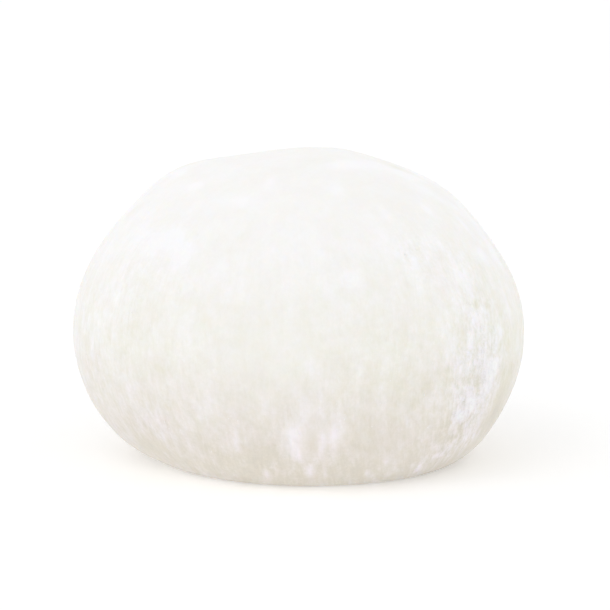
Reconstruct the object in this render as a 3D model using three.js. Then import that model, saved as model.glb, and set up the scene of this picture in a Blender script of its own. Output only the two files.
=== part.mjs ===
// A white mochi rice cake: a soft round bun of steamed rice dough, shaped by hand and set down on
// its pinched side, so that the belly sags a little over a flattened foot.
//
// Millimetres, +Z up. The origin is on the surface the cake rests on, under the middle of its box.
// Azimuths run from +X towards +Y. Latitudes run from the foot at -90 degrees, past the belly at 0,
// to the crown at 90.

import * as THREE from "three";
import { mergeVertices } from "three/addons/utils/BufferGeometryUtils.js";

// Driving dimensions of the plain bun, before the hands leave their marks on it.
const WIDTH = 56; // across X at the belly
const DEPTH = 55; // across Y at the belly
const HEIGHT = 38.4; // from the table to the crown
const BELLY_HEIGHT = 15.7; // the level where the bun is widest
const FOOT_RADIUS = 18.2; // where the curve under the belly would meet the table as a sharp corner
const FOOT_ROUNDING = 0.8; // how far above the table that corner starts to round over
const CROWN_FULLNESS = 2.05; // 2 is an ellipse, and more is squarer
const HAUNCH_FULLNESS = 2.1; // the same for the curve under the belly
const FOOT_LEAN = 1.3; // the foot sits this far towards +X of the belly
const LEAN_CURVE = 1.5; // how gently the lean sets in under the belly

// What the palms and thumbs left on the dough: soft swells, and hollows where height is negative.
// Height is how far the skin stands out from the plain bun. Tall and wide are how far the mark
// reaches up and down the side, and round the cake.
const HAND_MARKS = [
  // On the left side, with the shoulder first.
  { azimuth: 180, latitude: 59, height: 0.95, tall: 5.6, wide: 9 },
  { azimuth: 180, latitude: 79, height: -0.3, tall: 5.2, wide: 8 },
  { azimuth: 180, latitude: 26, height: -0.15, tall: 7.5, wide: 10 },
  { azimuth: 180, latitude: -38, height: 0.8, tall: 6.4, wide: 9 },
  // On the right side.
  { azimuth: 0, latitude: 80, height: 0.35, tall: 4.5, wide: 8 },
  { azimuth: 0, latitude: 50, height: 0.25, tall: 5.2, wide: 8 },
  { azimuth: 0, latitude: 30, height: -0.45, tall: 6.8, wide: 10 },
  { azimuth: 0, latitude: -26, height: -0.55, tall: 6.4, wide: 9 },
  { azimuth: 0, latitude: -43, height: 0.3, tall: 6, wide: 9 },
  // On the front.
  { azimuth: 286, latitude: 34, height: -0.25, tall: 9, wide: 9 },
  { azimuth: 236, latitude: 4, height: 0.3, tall: 7, wide: 9 },
  { azimuth: 304, latitude: -34, height: 0.3, tall: 6, wide: 8 },
  { azimuth: 240, latitude: -55, height: -0.4, tall: 5, wide: 9 },
  // On the back.
  { azimuth: 62, latitude: 40, height: -0.4, tall: 7, wide: 9 },
  { azimuth: 108, latitude: -4, height: 0.35, tall: 8, wide: 10 },
  { azimuth: 138, latitude: 48, height: -0.3, tall: 6, wide: 8 },
];

// The pinched closing in the middle of the foot, where the dough was gathered and turned under.
const CLOSING_RADIUS = 9.5; // the longest pleats run out to here
const PLEATS = 8;
const PLEAT_DEPTH = 0.75;
const PLEAT_SHARPNESS = 2; // more makes narrower grooves
const PLEAT_TWIST = 0.8; // radians that a pleat turns on its way in
const PLEAT_UNEVENNESS = 0.22; // radians that a pleat may stand out of its regular place
const PLEAT_SHORTENING = 0.3; // the shortest pleats lose this share of their length
const DIMPLE_RADIUS = 2.8;
const DIMPLE_DEPTH = 1.4;

// How finely the surface is divided.
const SEGMENTS = 80; // round the cake
const CROWN_RINGS = 22; // from the crown to the belly
const HAUNCH_RINGS = 14; // from the belly to the edge of the closing
const CLOSING_RINGS = 10; // from there to the middle of the foot
const SAME_PLACE = 1e-3; // corners closer than this are one corner
const ON_TABLE = 1e-6; // a corner lower than this lies on the table

const { clamp, degToRad, lerp } = THREE.MathUtils;

// How far the curve under the belly would reach down if the table didn't flatten it.
const HAUNCH_DROP =
  BELLY_HEIGHT /
  (1 - (FOOT_RADIUS / (WIDTH / 2)) ** HAUNCH_FULLNESS) ** (1 / HAUNCH_FULLNESS);

// The latitude on the underside that lies at the closing's edge.
const CLOSING_LATITUDE = -Math.acos(
  (CLOSING_RADIUS / (WIDTH / 2)) ** (HAUNCH_FULLNESS / 2),
);

// Where a height of the unflattened curve ends up once the cake stands on the table.
function setDown(z) {
  if (z > FOOT_ROUNDING) return z;
  if (z < -FOOT_ROUNDING) return 0;
  return (z + FOOT_ROUNDING) ** 2 / (4 * FOOT_ROUNDING);
}

// The plain bun's outline at a latitude in radians, as distance from the axis and height.
function outlineAt(latitude) {
  const above = latitude >= 0;
  const power = 2 / (above ? CROWN_FULLNESS : HAUNCH_FULLNESS);
  const reach = Math.abs(Math.cos(latitude)) ** power;
  const rise = Math.abs(Math.sin(latitude)) ** power;
  const z = above
    ? BELLY_HEIGHT + (HEIGHT - BELLY_HEIGHT) * rise
    : BELLY_HEIGHT - HAUNCH_DROP * rise;
  return new THREE.Vector2((WIDTH / 2) * reach, setDown(z));
}

// The outline from the middle of the foot up to the crown, with both ends on the axis.
function bunOutline() {
  const stretches = [
    { from: -Math.PI / 2, to: CLOSING_LATITUDE, rings: CLOSING_RINGS },
    { from: CLOSING_LATITUDE, to: 0, rings: HAUNCH_RINGS },
    { from: 0, to: Math.PI / 2, rings: CROWN_RINGS },
  ];
  const points = [new THREE.Vector2(0, 0)];
  for (const { from, to, rings } of stretches)
    for (let i = 1; i <= rings; i++)
      points.push(outlineAt(lerp(from, to, i / rings)));
  points.at(-1).x = 0;
  return points;
}

// How much a point of the skin stands out because of one hand mark.
function markAt(point, { azimuth, latitude, height, tall, wide }) {
  const turn = degToRad(azimuth);
  const outline = outlineAt(degToRad(latitude));
  const middle = new THREE.Vector3(
    outline.x * Math.cos(turn),
    outline.x * Math.sin(turn) * (DEPTH / WIDTH),
    outline.y,
  );
  const sideways = new THREE.Vector3(-Math.sin(turn), Math.cos(turn), 0);
  const away = point.clone().sub(middle);
  const round = away.dot(sideways);
  const up = away.addScaledVector(sideways, -round).length();
  return height * Math.exp(-((round / wide) ** 2) - (up / tall) ** 2);
}

// Moves a point of the skin out or in by the hand marks. What lies on the table stays there.
function pressMarks(point) {
  const out = HAND_MARKS.reduce((sum, mark) => sum + markAt(point, mark), 0);
  const outward = new THREE.Vector3(point.x, point.y, point.z - BELLY_HEIGHT);
  const offTable = clamp(point.z / (2 * FOOT_ROUNDING), 0, 1);
  point.addScaledVector(outward.normalize(), out * offTable);
}

// Turns a point of the foot with the pleats of the closing, and lifts it off the table into them.
function gatherFoot(point) {
  const turn = Math.atan2(point.y, point.x);
  const distance = Math.hypot(point.x, point.y);
  const shortening = PLEAT_SHORTENING * (0.5 - 0.5 * Math.cos(2 * turn + 1));
  const inward = clamp(
    1 - distance / (CLOSING_RADIUS * (1 - shortening)),
    0,
    1,
  );
  const groove = (0.5 + 0.5 * Math.cos(PLEATS * turn)) ** PLEAT_SHARPNESS;
  const pleat = PLEAT_DEPTH * groove * Math.sin(Math.PI * inward);
  const dimple =
    DIMPLE_DEPTH * inward * Math.exp(-((distance / DIMPLE_RADIUS) ** 2));
  const stray = PLEAT_UNEVENNESS * Math.sin(3 * turn + 0.5);
  const turned = turn + (PLEAT_TWIST + stray) * inward;
  point.set(
    distance * Math.cos(turned),
    distance * Math.sin(turned),
    pleat + dimple,
  );
}

// How far towards +X the cake leans at a height.
function leanAt(z) {
  const below = clamp((BELLY_HEIGHT - z) / BELLY_HEIGHT, 0, 1);
  return FOOT_LEAN * below ** LEAN_CURVE;
}

function bunGeometry() {
  const turned = new THREE.LatheGeometry(bunOutline(), SEGMENTS);
  turned.rotateX(Math.PI / 2);
  turned.deleteAttribute("normal");
  turned.deleteAttribute("uv");
  const bun = mergeVertices(turned, SAME_PLACE);
  const places = bun.getAttribute("position");
  const point = new THREE.Vector3();
  for (let i = 0; i < places.count; i++) {
    point.fromBufferAttribute(places, i);
    point.y *= DEPTH / WIDTH;
    pressMarks(point);
    const lean = leanAt(point.z);
    if (point.z < ON_TABLE) gatherFoot(point);
    places.setXYZ(i, point.x + lean, point.y, point.z);
  }
  bun.computeBoundingBox();
  const middle = bun.boundingBox.getCenter(new THREE.Vector3());
  bun.translate(-middle.x, -middle.y, 0);
  bun.computeVertexNormals();
  return bun;
}

const dustedDough = new THREE.MeshStandardMaterial({
  color: 0xf3f1ea,
  roughness: 0.8,
  metalness: 0,
});

const mochi = new THREE.Mesh(bunGeometry(), dustedDough);
mochi.name = "mochi";

const cake = new THREE.Group();
cake.add(mochi);

export default cake;
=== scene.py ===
from math import asin, atan2, cos, exp, hypot, pi, radians, sin, tan

import bmesh
import bpy
import numpy as np
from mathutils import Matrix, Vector, noise


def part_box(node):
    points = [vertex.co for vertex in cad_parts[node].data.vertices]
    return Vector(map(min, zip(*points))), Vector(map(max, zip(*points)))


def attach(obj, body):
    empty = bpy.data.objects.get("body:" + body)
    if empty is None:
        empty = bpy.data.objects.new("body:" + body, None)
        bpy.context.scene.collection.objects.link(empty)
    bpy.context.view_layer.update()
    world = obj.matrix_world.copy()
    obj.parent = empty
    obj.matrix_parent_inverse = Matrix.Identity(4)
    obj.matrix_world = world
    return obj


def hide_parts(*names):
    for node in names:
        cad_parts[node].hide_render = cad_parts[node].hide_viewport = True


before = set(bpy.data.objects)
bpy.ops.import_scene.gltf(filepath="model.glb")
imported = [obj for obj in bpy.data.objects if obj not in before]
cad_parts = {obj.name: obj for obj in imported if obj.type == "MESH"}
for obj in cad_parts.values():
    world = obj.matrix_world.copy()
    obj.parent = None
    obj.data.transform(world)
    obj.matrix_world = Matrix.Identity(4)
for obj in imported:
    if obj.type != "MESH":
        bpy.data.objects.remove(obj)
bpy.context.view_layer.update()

mm = 0.001


# The plain bun, its hand marks and its closing have the same sizes as the solid that it replaces.
# Azimuths run from +X towards +Y, and latitudes from the foot at -90 over the belly to the crown.
bun = {
    "width": 56 * mm,
    "depth": 55 * mm,
    "height": 38.4 * mm,
    "bellyHeight": 15.7 * mm,
    "footRadius": 18.2 * mm,
    "footRounding": 0.8 * mm,
    "crownFullness": 2.05,
    "haunchFullness": 2.1,
    "footLean": 1.3 * mm,
    "leanCurve": 1.5,
    "handMarks": [  # azimuth, latitude, and in millimetres height, tall, wide
        (180, 59, 0.95, 5.6, 9),
        (180, 79, -0.3, 5.2, 8),
        (180, 26, -0.15, 7.5, 10),
        (180, -38, 0.8, 6.4, 9),
        (0, 80, 0.35, 4.5, 8),
        (0, 50, 0.25, 5.2, 8),
        (0, 30, -0.45, 6.8, 10),
        (0, -26, -0.55, 6.4, 9),
        (0, -43, 0.3, 6, 9),
        (286, 34, -0.25, 9, 9),
        (236, 4, 0.3, 7, 9),
        (304, -34, 0.3, 6, 8),
        (240, -55, -0.4, 5, 9),
        (62, 40, -0.4, 7, 9),
        (108, -4, 0.35, 8, 10),
        (138, 48, -0.3, 6, 8),
    ],
    "closingRadius": 9.5 * mm,
    "pleats": 8,
    "pleatDepth": 0.75 * mm,
    "pleatSharpness": 2,
    "pleatTwist": 0.8,
    "pleatUnevenness": 0.22,
    "pleatShortening": 0.3,
    "dimpleRadius": 2.8 * mm,
    "dimpleDepth": 1.4 * mm,
    "onTable": 1e-6 * mm,  # what is lower than this lies on the table
    "gridCuts": 123,  # how often each side of the starting cube is cut
}


def clamp(value, low=0.0, high=1.0):
    return max(low, min(high, value))


def setDown(z):  # where a height of the round curve ends up on the table
    rounding = bun["footRounding"]
    if z > rounding:
        return z
    if z < -rounding:
        return 0.0
    return (z + rounding) ** 2 / (4 * rounding)


def haunchDrop():  # how far the lower curve would reach if nothing flattened it
    fullness = bun["haunchFullness"]
    share = 2 * bun["footRadius"] / bun["width"]
    return bun["bellyHeight"] / (1 - share ** fullness) ** (1 / fullness)


bun["drop"] = haunchDrop()


def outlineAt(latitude):
    above = latitude >= 0
    power = 2 / (bun["crownFullness"] if above else bun["haunchFullness"])
    reach = abs(cos(latitude)) ** power * bun["width"] / 2
    rise = abs(sin(latitude)) ** power
    if above:
        return reach, bun["bellyHeight"] + (bun["height"] - bun["bellyHeight"]) * rise
    return reach, setDown(bun["bellyHeight"] - bun["drop"] * rise)


def placeAt(azimuth, latitude):
    reach, z = outlineAt(latitude)
    return Vector((reach * cos(azimuth), reach * sin(azimuth) * bun["depth"] / bun["width"], z))


def sidewaysAt(azimuth):
    return Vector((-sin(azimuth), cos(azimuth), 0))


def readyHandMarks():
    ready = []
    for azimuth, latitude, height, tall, wide in bun["handMarks"]:
        turn = radians(azimuth)
        middle = placeAt(turn, radians(latitude))
        ready.append((middle, sidewaysAt(turn), height * mm, tall * mm, wide * mm))
    return ready


handMarks = readyHandMarks()


def pressMarks(point):
    out = 0.0
    for middle, sideways, height, tall, wide in handMarks:
        away = point - middle
        around = away.dot(sideways)
        up = away.length_squared - around * around
        out += height * exp(-((around / wide) ** 2) - up / (tall * tall))
    outward = Vector((point.x, point.y, point.z - bun["bellyHeight"])).normalized()
    offTable = clamp(point.z / (2 * bun["footRounding"]))
    return point + outward * out * offTable


def gatherFoot(point):  # turns the skin into the pleats of the closing and lifts it
    turn = atan2(point.y, point.x)
    distance = hypot(point.x, point.y)
    shortening = bun["pleatShortening"] * (0.5 - 0.5 * cos(2 * turn + 1))
    inward = clamp(1 - distance / (bun["closingRadius"] * (1 - shortening)))
    groove = (0.5 + 0.5 * cos(bun["pleats"] * turn)) ** bun["pleatSharpness"]
    pleat = bun["pleatDepth"] * groove * sin(pi * inward)
    dimple = bun["dimpleDepth"] * inward * exp(-((distance / bun["dimpleRadius"]) ** 2))
    stray = bun["pleatUnevenness"] * sin(3 * turn + 0.5)
    turned = turn + (bun["pleatTwist"] + stray) * inward
    return Vector((distance * cos(turned), distance * sin(turned), pleat + dimple))


def leanAt(z):
    below = clamp((bun["bellyHeight"] - z) / bun["bellyHeight"])
    return bun["footLean"] * below ** bun["leanCurve"]


def skinAt(azimuth, latitude):
    point = pressMarks(placeAt(azimuth, latitude))
    lean = leanAt(point.z)
    if point.z < bun["onTable"]:
        point = gatherFoot(point)
    return point + Vector((lean, 0, 0))


def bunMesh():
    bm = bmesh.new()
    bmesh.ops.create_cube(bm, size=2)
    bmesh.ops.subdivide_edges(bm, edges=bm.edges, cuts=bun["gridCuts"], use_grid_fill=True)
    for v in bm.verts:
        even = Vector([tan(c * pi / 4) for c in v.co]).normalized()  # keeps the grid evenly spaced
        v.co = skinAt(atan2(even.y, even.x), asin(clamp(even.z, -1, 1)))
    bmesh.ops.recalc_face_normals(bm, faces=bm.faces)
    return bm


def settleInFrame(bm):  # the middle of the box goes where the solid's is
    low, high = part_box("mochi")
    xs = [v.co.x for v in bm.verts]
    ys = [v.co.y for v in bm.verts]
    right = (low.x + high.x - min(xs) - max(xs)) / 2
    back = (low.y + high.y - min(ys) - max(ys)) / 2
    bmesh.ops.translate(bm, verts=bm.verts, vec=(right, back, 0))


def smoothStep(values, low, high):
    share = np.clip((values - low) / (high - low), 0, 1)
    return share * share * (3 - 2 * share)


def arcsOver(places):  # azimuths and latitudes of points of the skin, in radians
    x, y, z = places.T
    below = np.clip((bun["bellyHeight"] - z) / bun["bellyHeight"], 0, 1)
    x = x - bun["footLean"] * below ** bun["leanCurve"]
    y = y * bun["width"] / bun["depth"]
    reach = np.hypot(x, y) / (bun["width"] / 2)
    above = z >= bun["bellyHeight"]
    span = np.where(above, bun["height"] - bun["bellyHeight"], bun["drop"])
    fullness = np.where(above, bun["crownFullness"], bun["haunchFullness"])
    up = (np.abs(z - bun["bellyHeight"]) / span) ** (fullness / 2)
    latitudes = np.arctan2(np.where(above, up, -up), reach ** (fullness / 2))
    return np.arctan2(y, x), latitudes


# How the starch lies. A cover of 1 hides the skin, and contrast says how streaky it lies.
# A mark is given by azimuth and latitude, what it adds, and how tall and wide it is in millimetres.
starch = {
    "footCover": 0.1,
    "crownCover": 0.775,
    "coverRise": (-52, 50),  # the latitudes between which the cover grows
    # more cover on the left makes that side lighter: partly dust, partly painted light from the
    # left
    "leftExtra": 0.09,
    "dustyAndLitAzimuth": 200,
    "drift": 0.1,  # broad unevenness
    "driftSize": 5 * mm,
    "driftNoise": (0.2, 3),  # roughness and octaves
    "streaks": 0.45,  # unevenness along the grain, where the contrast is 1
    "streakSize": 1.1,  # width of a streak, in the grain's own measure
    "streakNoise": (0.4, 3),
    "pinchedCover": 0.6,  # what the pleats of the closing hold
    "pinchedUnder": -60,  # the latitude that they stay under
    "footContrast": 0.7,
    "crownContrast": 0.1,
    "contrastFade": (-40, 60),  # the latitudes between which the contrast fades
    "markLean": 0.66,  # how much straighter down than the skin's curve a mark runs under the belly
    "marks": [
        # the crusty field on the right, and the strip behind it whose negative cover darkens the
        # lower right rim: partly bare skin, partly painted shade
        (322, -9, 0.44, 7, 3.6),
        (321, 12, 0.1, 6, 3),
        (326, -3.5, 1.12, 0.9, 1.6),
        (325.5, -10, 0.65, 1.3, 0.8),
        (320.5, 7.5, -0.12, 2.5, 2),
        (330.5, 6.5, 0.5, 1.3, 0.5),
        (318, 5.5, 0.25, 1.3, 0.55),
        (310, 7, 0.25, 1.8, 1.2),
        (319, 24, 0.35, 1, 1.2),
        (321.5, 12.5, 0.3, 0.6, 0.9),
        (318, -15, 1.15, 1, 1.4),
        (316, -19.7, 1.1, 0.9, 1),
        (303.5, -26, 0.35, 0.9, 0.4),
        (308, -41, 1.1, 1.3, 0.4),
        (313.5, -35, 0.7, 0.6, 0.9),
        (315.5, -31, 0.6, 0.7, 0.6),
        (315, -25, 0.5, 0.8, 0.5),
        (309, -7.5, 0.3, 0.5, 0.4),
        (314, -5.4, 0.2, 0.5, 0.9),
        (311, -30, 0.12, 2, 2.2),
        (326, -29, 0.45, 1, 0.5),
        (304, 30, 0.15, 2.2, 1.4),
        (321.5, 16, -0.45, 0.6, 0.6),
        (326, 14, -0.3, 0.6, 0.5),
        (315, -5, -0.15, 1.2, 0.6),
        (309, -1.5, -0.35, 0.5, 0.6),
        (320, -8.5, -0.45, 0.9, 0.4),
        (315, -28, -0.4, 1, 0.5),
        # painted shade: these two darken the lower right rim
        (337, -6, -0.2, 4, 1.5),
        (334, -20, -0.75, 3.4, 1.8),
        (322, -29.5, 0.28, 1.8, 1.5),
        (310.5, -32, 0.3, 2.2, 0.9),
        (318.5, -37, 0.3, 1, 0.6),
        (319.2, -1, 0.3, 0.6, 0.5),
        (319, -6, 0.2, 0.6, 0.5),
        # lobes that hang over the bare haunch in front
        (268, -19.5, 0.45, 1.4, 1.2),
        (267.5, -25, 0.56, 1.7, 1.1),
        (268.5, -31, 0.6, 1.5, 0.75),
        (275, -25, 0.7, 2.3, 0.5),
        (278.3, -21, 0.85, 1.7, 0.8),
        (280.5, -16, 0.4, 1.2, 0.5),
        (271, -38, 0.7, 1.2, 0.4),
        (271, -11.5, 0.25, 1.6, 1.1),
        (284.5, -1, 0.12, 1.8, 1.6),
        (273, 1.5, 0.25, 1.4, 0.9),
        (285, 0, 0.2, 1.5, 0.35),
        (252.5, -24, 0.55, 1.9, 0.4),
        (252, -34, 0.3, 1, 0.3),
        (257, -41, 0.6, 1.7, 0.45),
        (276, -40, 0.7, 1.1, 0.3),
        (289.3, -40, 0.7, 1.1, 0.3),
        (293.6, -34.7, 0.6, 0.7, 0.35),
        (259, -30, -0.4, 2.2, 1),
        (273, -25, -0.12, 1.4, 0.7),
        # these two darken a strip along the front of the foot: partly bare skin, partly painted
        # shade
        (284.5, -38, -0.4, 1.6, 2.2),
        (250, -40, -0.27, 1.5, 6),
        (282, -5, 0.08, 2, 2.5),
        (272, -14, 0.1, 2, 2),
        (301, -38, -0.2, 1, 1.1),
        (290, -22, -0.1, 2, 5),
        (265, -9, 0.06, 3.5, 16),
        (249, -34, -0.2, 1.8, 2.5),
        (310, -43, 0.2, 1.5, 2.5),
        # thin slanting runs on the left
        (234, -23, 0.08, 4, 5),
        (232, -30, -0.12, 2.2, 5),
        (230.5, -19, 0.38, 1.6, 0.4),
        (228.5, -27, 0.36, 1.6, 0.3),
        (227, -33, 0.3, 1.2, 0.25),
        (223, -36, 0.4, 1.2, 0.3),
        (220, -34, -0.4, 2.4, 3),
        (237.5, -22, 0.22, 1, 0.6),
        (247.5, -8.5, 0.2, 2.2, 0.7),
        (216, 18, 0.2, 2.4, 0.6),
        (208, 2.5, 0.2, 1.1, 0.4),
        (217, 25, -0.25, 1.4, 0.4),
        (226, 17.5, -0.15, 1.4, 0.8),
        (232, 16, -0.1, 1.2, 1),
        # clouds on the shoulder and the crown
        (228, 38, 0.35, 1.6, 1.7),
        (235, 33, 0.35, 1.4, 1.2),
        (222.5, 35.5, 0.28, 1.6, 1.6),
        (213, 36, 0.2, 2, 1.8),
        (216, 58, 0.3, 0.9, 0.9),
        (254.5, 63, 0.2, 1.9, 0.6),
        (246, 54, 0.2, 1.3, 2.3),
        (313, 72, 0.35, 1.4, 2.4),
        (289, 60, 0.2, 1.2, 1),
        (338, 69, 0.32, 1.5, 1.8),
        (343, 63, 0.2, 1.5, 1.2),
        (274, 81, 0.08, 1.6, 2.4),
        (275, 38, 0.06, 6, 8),
        (324, 47.5, 0.3, 1.2, 0.6),
        (303.5, 49, 0.2, 1.6, 0.5),
        (285, 27, 0.28, 1.2, 1.1),
        # broad thicker and thinner places
        (350, 42, 0.13, 9, 8),
        (302, 39, 0.11, 3.5, 4),
        (310, 30, 0.08, 3, 4),
        (262, 32, 0.06, 3, 8),
        (230, 3, -0.08, 4, 5),
        (248, -5, 0.06, 3, 4),
        (289, 3, -0.05, 3, 5),
    ],
    "strays": 240,  # further marks on the back and both ends
    "strayTurns": (-25, 195),
    "strayLatitudes": (-50, 66),
    "strayExtra": (-0.25, 0.45),
    "strayTall": (0.7, 2.4),
    "strayWide": (0.3, 1.5),
    "straySeed": 5,
    "wildZones": [  # the same for contrast
        (322, 0, 0.92, 8, 4.5),
        (272.5, -23, -0.3, 3, 2.8),
        (262, 4, -0.22, 7, 8),
        (305, 33, 0.35, 3, 2.5),
        (318, 32, 0.18, 4, 4),
        (230, 35, 0.1, 4, 4),
        (272, -36, 0.15, 3, 10),
        (222, 20, 0.15, 5, 4),
        (312, -36, 0.35, 3, 4),
        (321, -29, 0.25, 2.5, 2.5),
        (292, -26, -0.2, 5, 5),
        (240, -26, -0.12, 5, 8),
        (316, -20, 0.5, 5, 4),
        (232, -20, 0.12, 5, 5),
        (205, 5, 0.12, 8, 5),
        (120, 6, 0.6, 8, 6),
        (62, -14, 0.5, 6, 8),
        (10, 20, 0.4, 8, 6),
        (165, -18, 0.4, 5, 9),
    ],
}


def marksOver(places, marks):
    total = np.zeros(len(places))
    for azimuth, latitude, extra, tall, wide in marks:
        turn = radians(azimuth)
        away = places - np.array(skinAt(turn, radians(latitude)))
        around = away @ np.array(sidewaysAt(turn))
        up = (away * away).sum(axis=1) - around ** 2
        around -= starch["markLean"] * sin(2 * turn) * radians(max(-latitude, 0)) * away[:, 2]
        total += extra * np.exp(-((around / (wide * mm)) ** 2) - up / (tall * mm) ** 2)
    return total


def strayMarks():
    draw = np.random.RandomState(starch["straySeed"]).uniform
    ranges = ("strayTurns", "strayLatitudes", "strayExtra", "strayTall", "strayWide")
    return [tuple(draw(*starch[name]) for name in ranges) for i in range(starch["strays"])]


def fractalAt(place, roughness, octaves):
    return noise.fractal(Vector(place), 1 - roughness, 2.0, octaves)  # each octave is twice as fine


def fractalOver(places, roughness, octaves):
    return np.array([fractalAt(place, roughness, octaves) for place in places])


def coverOver(places, contrast, lines):
    azimuths, latitudes = arcsOver(places)
    height = smoothStep(latitudes, *np.radians(starch["coverRise"]))
    cover = starch["footCover"] + (starch["crownCover"] - starch["footCover"]) * height
    # partly dust, partly painted light: the left side gets more cover and so is lighter
    dustyAndLitSide = np.cos(azimuths - radians(starch["dustyAndLitAzimuth"])) * np.cos(latitudes)
    cover += starch["leftExtra"] * dustyAndLitSide
    cover += starch["drift"] * fractalOver(places / starch["driftSize"], *starch["driftNoise"])
    streaks = fractalOver(lines / starch["streakSize"], *starch["streakNoise"])
    cover += starch["streaks"] * contrast * streaks
    pinched = smoothStep(places[:, 2], 0, bun["pleatDepth"])
    pinched *= latitudes < radians(starch["pinchedUnder"])
    marks = marksOver(places, starch["marks"] + strayMarks())
    return cover + marks + starch["pinchedCover"] * pinched


def contrastOver(places):
    latitudes = arcsOver(places)[1]
    height = smoothStep(latitudes, *np.radians(starch["contrastFade"]))
    plain = starch["footContrast"] + (starch["crownContrast"] - starch["footContrast"]) * height
    return plain + marksOver(places, starch["wildZones"])


# The grain that the starch was rubbed in. It is even on the crown and runs down the sides.
grain = {
    "ballRadius": 26,  # the size of its own measure, from crown to foot
    "reach": 20,  # the same round the sides
    "calmCap": 50,  # degrees from the crown where it has become lengthwise
    "stretch": 0.45,  # a smaller share draws it out more down the sides
    "footDraw": 0.12,  # how much further it is drawn out under the belly
    "fall": 0.26,  # how much straighter down than the skin's curve it runs there
    "fallsTo": 50,  # degrees under the belly where it meets the table
    "gather": 0.045,  # how far it slants in at the belly, on its way to the foot
    "gathersOver": 20,  # degrees above and under the belly
}


def grainOver(places):  # where the pattern of the grain is read for each point
    azimuths, latitudes = arcsOver(places)
    fromCrown = pi / 2 - latitudes
    cap = radians(grain["calmCap"])
    reach = grain["reach"] * np.sin(np.clip(fromCrown / cap, 0, 1) * pi / 2)
    easing = (1 - grain["stretch"]) * cap / 2 * np.tanh(2 * fromCrown / cap)
    under = np.clip(-latitudes, 0, None)
    falling = grain["fall"] * np.minimum(under, radians(grain["fallsTo"])) ** 2
    gathering = grain["gather"] * np.tanh(latitudes / radians(grain["gathersOver"]))
    azimuths = azimuths + np.sin(2 * azimuths) * (falling + gathering)
    along = grain["stretch"] * fromCrown + easing - grain["footDraw"] * under ** 2
    measure = reach * np.cos(azimuths), reach * np.sin(azimuths), grain["ballRadius"] * along
    return np.stack(measure, axis=1)


relief = {
    "swellSize": 9 * mm,
    "swellHeight": 0.08 * mm,
    "swellNoise": (0.1, 2),  # roughness and octaves
    "dragSize": 1.3,  # width of a drag line, in the grain's own measure
    "dragHeight": 0.02 * mm,
    "dragNoise": (0.3, 2),
    "crustFrom": 0.4,  # the cover from where the starch has a thickness
    "crustHeight": 0.05 * mm,
    "evenCrust": 0.6,  # the share of it that lies evenly
    "lumpyCrust": 0.8,  # the share that comes and goes
    "lumpScale": 1.7,
    "clearOfTable": 2.5 * mm,
}


def raiseSkin(bm, covers, lines):  # soft unevenness, drag lines and the thickness of the starch
    bm.normal_update()
    for v, cover, line in zip(bm.verts, covers, lines):
        line = Vector(line)
        swell = fractalAt(v.co / relief["swellSize"], *relief["swellNoise"])
        drag = fractalAt(line / relief["dragSize"], *relief["dragNoise"])
        lumps = noise.noise(line * relief["lumpScale"])
        crust = relief["evenCrust"] + relief["lumpyCrust"] * lumps
        crust *= clamp(cover - relief["crustFrom"])
        height = relief["swellHeight"] * swell + relief["dragHeight"] * drag
        height += relief["crustHeight"] * crust
        v.co += v.normal * height * clamp(v.co.z / relief["clearOfTable"])


def newPiece(name, mesh, material):
    mesh.shade_smooth()
    piece = bpy.data.objects.new(name, mesh)
    bpy.context.scene.collection.objects.link(piece)
    piece.data.materials.append(material)
    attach(piece, "root")
    return piece


def writeAttribute(mesh, name, kind, field, values):
    attribute = mesh.attributes.new(name, kind, "POINT")
    attribute.data.foreach_set(field, np.asarray(values, dtype=np.float32).ravel())


def skinMesh():
    bm = bunMesh()
    settleInFrame(bm)
    places = np.array([v.co for v in bm.verts])
    lines = grainOver(places)
    contrast = contrastOver(places)
    covers = coverOver(places, contrast, lines)
    raiseSkin(bm, covers, lines)
    bmesh.ops.recalc_face_normals(bm, faces=bm.faces)
    mesh = bpy.data.meshes.new("mochi_skin")
    bm.to_mesh(mesh)
    bm.free()
    writeAttribute(mesh, "dust", "FLOAT", "value", covers)
    writeAttribute(mesh, "contrast", "FLOAT", "value", contrast)
    writeAttribute(mesh, "grain", "FLOAT_VECTOR", "vector", lines)
    return mesh


def newMaterial(name):
    material = bpy.data.materials.new(name)
    material.use_nodes = True
    return material, material.node_tree, material.node_tree.nodes["Principled BSDF"]


def feed(tree, node, inputs):  # a socket is linked, and a number or colour is set
    for name, value in inputs.items():
        if isinstance(value, bpy.types.NodeSocket):
            tree.links.new(value, node.inputs[name])
        else:
            node.inputs[name].default_value = value


def addNode(tree, kind, inputs, **settings):
    node = tree.nodes.new(kind)
    for name, value in settings.items():
        setattr(node, name, value)
    feed(tree, node, inputs)
    return node


def placeOf(tree):
    return addNode(tree, "ShaderNodeTexCoord", {}).outputs["Object"]


def readAttribute(tree, name, output):
    return addNode(tree, "ShaderNodeAttribute", {}, attribute_name=name).outputs[output]


def calculate(tree, operation, *values, clampIt=False):
    settings = {"operation": operation, "use_clamp": clampIt}
    return addNode(tree, "ShaderNodeMath", dict(enumerate(values)), **settings).outputs[0]


def noiseOf(tree, vector, scale, detail, roughness):
    inputs = {"Vector": vector, "Scale": scale, "Detail": detail, "Roughness": roughness}
    return addNode(tree, "ShaderNodeTexNoise", inputs).outputs["Fac"]


def mixColours(tree, share, first, second):
    inputs = {"Factor": share, 6: first, 7: second}
    return addNode(tree, "ShaderNodeMix", inputs, data_type="RGBA").outputs[2]


def rangeOf(tree, value, fromLow, fromHigh, toLow, toHigh):
    inputs = {"Value": value, "From Min": fromLow, "From Max": fromHigh}
    inputs.update({"To Min": toLow, "To Max": toHigh})
    return addNode(tree, "ShaderNodeMapRange", inputs).outputs["Result"]


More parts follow.
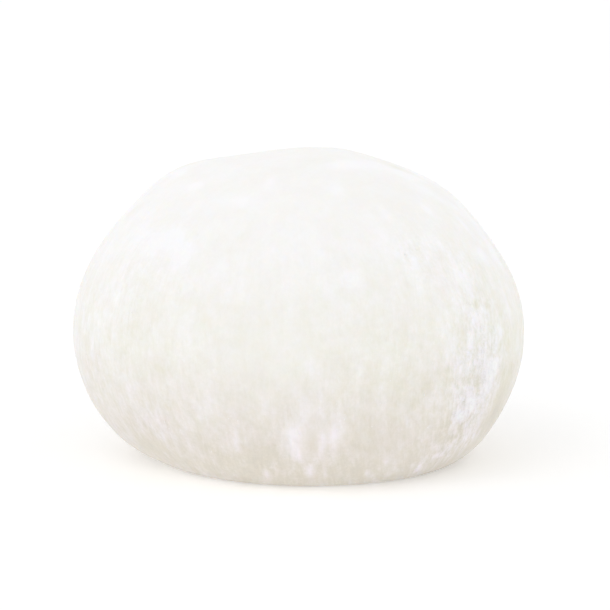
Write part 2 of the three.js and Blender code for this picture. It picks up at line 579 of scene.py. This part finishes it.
def bumpOf(tree, height, distance):
    inputs = {"Height": height, "Distance": distance}
    return addNode(tree, "ShaderNodeBump", inputs).outputs["Normal"]


def addUp(tree, pattern, gain, soFar):  # adds a pattern that swings about a half
    centred = calculate(tree, "SUBTRACT", pattern, 0.5)
    return calculate(tree, "MULTIPLY_ADD", centred, gain, soFar)


# A noise is given by scale, detail and roughness. The scale is in turns per metre, or in the
# grain's own measure where the noise runs along the grain.
dough = {
    "cream": (0.779, 0.764, 0.656, 1),  # bare skin
    "tan": (0.722, 0.681, 0.609, 1),  # bare skin near the foot, darker and warmer: partly the dough's own tint, partly painted shade and warm bounce light
    "tanBelow": 6.5 * mm,
    "creamAbove": 18.5 * mm,
    "blotches": (170, 3, 0.5),
    "blotchGain": 0.8,  # how far they turn the skin from cream to tan
    "powder": (0.894, 0.889, 0.9, 1),
    "dampAndShadedPowder": (0.865, 0.823, 0.846, 1),  # a thin coat near the foot, darker and warmer: partly the dough showing through, partly painted shade and warm bounce light
    "thickCoat": (1.1, 1.6),  # the cover from where the powder starts to keep its own colour to where it keeps it fully
    "streaks": (2.2, 7, 0.7),
    "streakGain": 1.3,
    "fibres": (2.6, 5, 0.74),
    "fibreGain": 1.5,
    "fibreLength": (1, 1, 0.3),  # a smaller share makes them longer
    "speckle": (2200, 3, 0.6),
    "speckleGain": 0.95,
    "grit": (14000, 2, 0.5),
    "gritGain": 0.4,
    "crust": (1500, 3, 0.6),
    "crustGain": 1.2,  # where the contrast is 1 more than calm
    "calm": 0.6,
    "coverShare": 0.6,  # how much the pattern bares and covers the skin
    "shadeShare": 0.1,  # how much it lightens and darkens it, as small hollows do
    "highestShade": 0.25,
    "bareShade": 1.2,  # painted shade: how much darker the colour gets where the coat goes below nothing, on shaded rims and in hollows
    "bareRoughness": 0.6,
    "powderRoughness": 0.9,
    "bumpHeight": 0.05 * mm,
    "speckleBump": 0.4,  # the height of the speckle as a share of the coat's
    "shine": 0.15,
    "sheen": 0.04,
    "softness": 0.6,  # how much of the light goes into the dough
    "depth": 4 * mm,
    "depthByColour": (1.0, 0.8, 0.6),
}


def swingOf(tree, place, speckle, contrast):  # how far the starch is from its usual cover
    lines = readAttribute(tree, "grain", "Vector")
    drawnOut = {"Vector": lines, "Scale": dough["fibreLength"]}
    longLines = addNode(tree, "ShaderNodeMapping", drawnOut).outputs["Vector"]
    wild = calculate(tree, "SUBTRACT", contrast, dough["calm"], clampIt=True)
    crustGain = calculate(tree, "MULTIPLY", wild, dough["crustGain"])
    patterns = (
        (noiseOf(tree, lines, *dough["streaks"]), dough["streakGain"]),
        (noiseOf(tree, longLines, *dough["fibres"]), dough["fibreGain"]),
        (speckle, dough["speckleGain"]),
        (noiseOf(tree, place, *dough["grit"]), dough["gritGain"]),
        (noiseOf(tree, place, *dough["crust"]), crustGain),
    )
    signal = 0.0
    for pattern, gain in patterns:
        signal = addUp(tree, pattern, gain, signal)
    return calculate(tree, "MULTIPLY", signal, contrast)


def doughMaterial():
    material, tree, shader = newMaterial("dustedDough")
    place = placeOf(tree)
    speckle = noiseOf(tree, place, *dough["speckle"])
    swing = swingOf(tree, place, speckle, readAttribute(tree, "contrast", "Fac"))
    dust = readAttribute(tree, "dust", "Fac")
    coat = calculate(tree, "MULTIPLY_ADD", swing, dough["coverShare"], dust)
    cover = calculate(tree, "MAXIMUM", coat, 0.0, clampIt=True)
    height = addNode(tree, "ShaderNodeSeparateXYZ", {"Vector": place}).outputs["Z"]
    # darker and warmer towards the foot: partly the dough's own tint, partly painted shade and warm
    # bounce light
    warmthAndShade = rangeOf(tree, height, dough["tanBelow"], dough["creamAbove"], 1.0, 0.0)
    warmthAndShade = addUp(tree, noiseOf(tree, place, *dough["blotches"]), dough["blotchGain"], warmthAndShade)
    skinColour = mixColours(tree, warmthAndShade, dough["cream"], dough["tan"])
    thin = rangeOf(tree, coat, *dough["thickCoat"], 1.0, 0.0)
    # painted shade near the foot: a thin coat there takes on a darker, warmer tint, partly the
    # dough showing through
    dampAndShaded = calculate(tree, "MULTIPLY", warmthAndShade, thin, clampIt=True)
    powderColour = mixColours(tree, dampAndShaded, dough["powder"], dough["dampAndShadedPowder"])
    # painted shade: the pattern darkens and lightens the colour as small hollows would, and a coat
    # below nothing darkens it further
    shade = calculate(tree, "MINIMUM", swing, dough["highestShade"])
    bare = calculate(tree, "MINIMUM", coat, 0.0)
    shade = calculate(tree, "MULTIPLY_ADD", bare, dough["bareShade"], shade)
    light = calculate(tree, "MULTIPLY_ADD", shade, dough["shadeShare"], 1.0)
    shaded = {0: mixColours(tree, cover, skinColour, powderColour), "Scale": light}
    roughness = rangeOf(tree, cover, 0.0, 1.0, dough["bareRoughness"], dough["powderRoughness"])
    bumps = calculate(tree, "MULTIPLY_ADD", speckle, dough["speckleBump"], cover)
    feed(tree, shader, {
        "Base Color": addNode(tree, "ShaderNodeVectorMath", shaded, operation="SCALE").outputs[0],
        "Roughness": roughness,
        "Normal": bumpOf(tree, bumps, dough["bumpHeight"]),
        "Specular IOR Level": dough["shine"],
        "Sheen Weight": dough["sheen"],
        "Subsurface Weight": dough["softness"],
        "Subsurface Scale": dough["depth"],
        "Subsurface Radius": dough["depthByColour"],
    })
    return material


skin = newPiece("mochi_skin", skinMesh(), doughMaterial())
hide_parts("mochi")
print("skin shaped:", len(skin.data.polygons), "faces")


# Loose starch: round crumbs, and flecks that were drawn out along the grain.
crumbs = {
    "name": "starch_crumbs",
    "count": 2000,
    "seed": 11,
    "length": (0.06 * mm, 0.2 * mm),
    "slimness": (0.6, 1.0),  # width as a share of length
    "flatness": (0.25, 0.4),  # thickness as a share of width
    "stray": pi,  # how far one may be turned out of the grain
    "sunk": 0.25,  # how far its middle lies under the skin, as a share of its thickness
}
flecks = {
    "name": "starch_flecks",
    "count": 1000,
    "seed": 23,
    "length": (0.15 * mm, 0.6 * mm),
    "slimness": (0.16, 0.3),
    "flatness": (0.2, 0.35),
    "stray": 0.35,
    "sunk": 0.3,
}
scatter = {
    "dusty": (0.2, 1.0),  # the cover from where some starch is loose to where most is
    "streakyFrom": 0.3,  # the contrast from where it is
    "anywhere": 0.005,  # the chance on smooth skin
    "clearOfTable": 0.5 * mm,
    "unevenness": (0.6, 1.4),
}


def lumpShape():
    bm = bmesh.new()
    bmesh.ops.create_icosphere(bm, subdivisions=1, radius=0.5)
    corners = np.array([v.co for v in bm.verts])
    faces = np.array([[v.index for v in f.verts] for f in bm.faces])
    bm.free()
    return corners, faces


def readMesh(mesh):
    places = np.empty(len(mesh.vertices) * 3)
    mesh.vertices.foreach_get("co", places)
    corners = np.empty(len(mesh.polygons) * 4, dtype=int)
    mesh.polygons.foreach_get("vertices", corners)
    normals = np.empty(len(mesh.polygons) * 3)
    mesh.polygons.foreach_get("normal", normals)
    return places.reshape(-1, 3), corners.reshape(-1, 4), normals.reshape(-1, 3)


def readValues(mesh, name):
    values = np.empty(len(mesh.vertices))
    mesh.attributes[name].data.foreach_get("value", values)
    return values


def chanceOver(quads, corners):  # how likely each face of the skin is to hold loose starch
    diagonals = corners[:, 2] - corners[:, 0], corners[:, 3] - corners[:, 1]
    areas = np.linalg.norm(np.cross(*diagonals), axis=1)
    dust = readValues(skin.data, "dust")[quads].mean(axis=1)
    contrast = readValues(skin.data, "contrast")[quads].mean(axis=1)
    streaky = np.clip(contrast - scatter["streakyFrom"], 0, None) ** 2
    clear = corners.mean(axis=1)[:, 2] > scatter["clearOfTable"]
    chance = areas * (scatter["anywhere"] + smoothStep(dust, *scatter["dusty"]) * streaky) * clear
    return chance / chance.sum()


def scatterStarch(kind, material):
    places, quads, normals = readMesh(skin.data)
    corners = places[quads]
    draw = np.random.RandomState(kind["seed"])
    count = kind["count"]
    chosen = draw.choice(len(quads), size=count, p=chanceOver(quads, corners))
    across, along = draw.uniform(size=(2, count, 1))
    near = corners[chosen, 0] * (1 - across) + corners[chosen, 1] * across
    far = corners[chosen, 3] * (1 - across) + corners[chosen, 2] * across
    spots = near * (1 - along) + far * along
    outward = normals[chosen]
    sideways = np.cross((0.0, 0.0, 1.0), outward)
    sideways /= np.linalg.norm(sideways, axis=1)[:, None]
    upward = np.cross(outward, sideways)
    turns = draw.uniform(-kind["stray"], kind["stray"], size=(count, 1))
    lengthwise = upward * np.cos(turns) + sideways * np.sin(turns)
    crosswise = np.cross(lengthwise, outward)
    spread = draw.uniform(size=(count, 1)) ** 2  # small ones are the most common
    length = kind["length"][0] + (kind["length"][1] - kind["length"][0]) * spread
    width = length * draw.uniform(*kind["slimness"], size=(count, 1))
    thickness = width * draw.uniform(*kind["flatness"], size=(count, 1))
    lump, faces = lumpShape()
    uneven = lump[None] * draw.uniform(*scatter["unevenness"], size=(count, len(lump), 1))
    points = (spots - outward * thickness * kind["sunk"])[:, None]
    points = points + uneven[:, :, 0:1] * (lengthwise * length)[:, None]
    points = points + uneven[:, :, 1:2] * (crosswise * width)[:, None]
    points = points + uneven[:, :, 2:3] * (outward * thickness)[:, None]
    every = faces[None] + (np.arange(count) * len(lump))[:, None, None]
    mesh = bpy.data.meshes.new(kind["name"])
    mesh.from_pydata(points.reshape(-1, 3).tolist(), [], every.reshape(-1, 3).tolist())
    piece = newPiece(kind["name"], mesh, material)
    print(kind["name"], "scattered:", len(mesh.polygons), "faces")


looseStarch = {
    "bright": (0.9, 0.896, 0.903, 1),
    "dull": (0.875, 0.865, 0.86, 1),
    "patches": (900, 2, 0.5),
    "grit": (12000, 2, 0.5),
    "gritHeight": 0.004 * mm,
    "roughness": 0.95,
    "shine": 0.2,
}


def starchMaterial():
    material, tree, shader = newMaterial("looseStarch")
    place = placeOf(tree)
    patches = noiseOf(tree, place, *looseStarch["patches"])
    grit = noiseOf(tree, place, *looseStarch["grit"])
    feed(tree, shader, {
        "Base Color": mixColours(tree, patches, looseStarch["bright"], looseStarch["dull"]),
        "Roughness": looseStarch["roughness"],
        "Normal": bumpOf(tree, grit, looseStarch["gritHeight"]),
        "Specular IOR Level": looseStarch["shine"],
    })
    return material


powder = starchMaterial()
for kind in (crumbs, flecks):
    scatterStarch(kind, powder)

studio = {
    "floorRadius": 3.0,
    "floorSides": 96,
    "floorDrop": 0.02 * mm,
    "floorTone": (0.95, 0.95, 0.95, 1),
    "floorRoughness": 0.9,
    "floorGlow": 0.05,
    "footGlow": 0.25,  # round the foot, where the cake would shade itself
    "glowMiddle": (-1 * mm, -4 * mm, 0),
    "glowReach": (15 * mm, 50 * mm),
    "glowFade": 3.0,  # more makes it fade sooner
    "white": (1, 1, 1, 1),
    "skyStrength": 1.0,
    "keyPower": 0.41,
    "keySize": 0.5,
    "keyPlace": (-0.29, -0.42, 0.6),
}


def makeFloor():
    bm = bmesh.new()
    sides = studio["floorSides"]
    bmesh.ops.create_circle(bm, cap_ends=True, radius=studio["floorRadius"], segments=sides)
    bmesh.ops.translate(bm, verts=bm.verts, vec=(0, 0, -studio["floorDrop"]))
    mesh = bpy.data.meshes.new("floor")
    bm.to_mesh(mesh)
    bm.free()
    floor = bpy.data.objects.new("floor", mesh)
    bpy.context.scene.collection.objects.link(floor)
    material, tree, shader = newMaterial("paleFloor")
    spread = {0: placeOf(tree), 1: studio["glowMiddle"]}
    distance = addNode(tree, "ShaderNodeVectorMath", spread, operation="DISTANCE").outputs["Value"]
    near = rangeOf(tree, distance, *studio["glowReach"], 1.0, 0.0)
    near = calculate(tree, "POWER", near, studio["glowFade"])
    glow = calculate(tree, "MULTIPLY_ADD", near, studio["footGlow"], studio["floorGlow"])
    feed(tree, shader, {
        "Base Color": studio["floorTone"],
        "Roughness": studio["floorRoughness"],
        "Specular IOR Level": 0.0,
        "Emission Color": studio["white"],
        "Emission Strength": glow,
    })
    floor.data.materials.append(material)


def makeLight():
    world = bpy.data.worlds.new("sky")
    bpy.context.scene.world = world
    world.use_nodes = True
    sky = {"Color": studio["white"], "Strength": studio["skyStrength"]}
    feed(world.node_tree, world.node_tree.nodes["Background"], sky)
    lamp = bpy.data.lights.new("key", "AREA")
    lamp.energy = studio["keyPower"]
    lamp.shape = "DISK"
    lamp.size = studio["keySize"]
    key = bpy.data.objects.new("key", lamp)
    key.location = studio["keyPlace"]
    key.rotation_mode = "QUATERNION"
    aim = Vector((0, 0, bun["bellyHeight"])) - key.location
    key.rotation_quaternion = aim.to_track_quat("-Z", "Y")
    bpy.context.scene.collection.objects.link(key)


view = {
    "elevation": 10,
    "distance": 420 * mm,
    "aimHeight": 18 * mm,
    "aimRight": 0.82 * mm,
    "aimUp": 1.06 * mm,
    "lens": 199.7,
    "sensor": 36,
    "nearest": 10 * mm,
}


def makeCamera():
    tilt = radians(view["elevation"])
    back = Vector((0, -cos(tilt), sin(tilt)))
    up = Vector((0, sin(tilt), cos(tilt)))
    aim = Vector((view["aimRight"], 0, view["aimHeight"])) + up * view["aimUp"]
    lens = bpy.data.cameras.new("camera")
    lens.lens = view["lens"]
    lens.sensor_width = view["sensor"]
    lens.clip_start = view["nearest"]
    camera = bpy.data.objects.new("camera", lens)
    camera.location = aim + back * view["distance"]
    camera.rotation_mode = "QUATERNION"
    camera.rotation_quaternion = (-back).to_track_quat("-Z", "Y")
    bpy.context.scene.collection.objects.link(camera)
    bpy.context.scene.camera = camera


makeFloor()
makeLight()
makeCamera()
bpy.context.scene.view_settings.view_transform = "Standard"
print("studio ready")
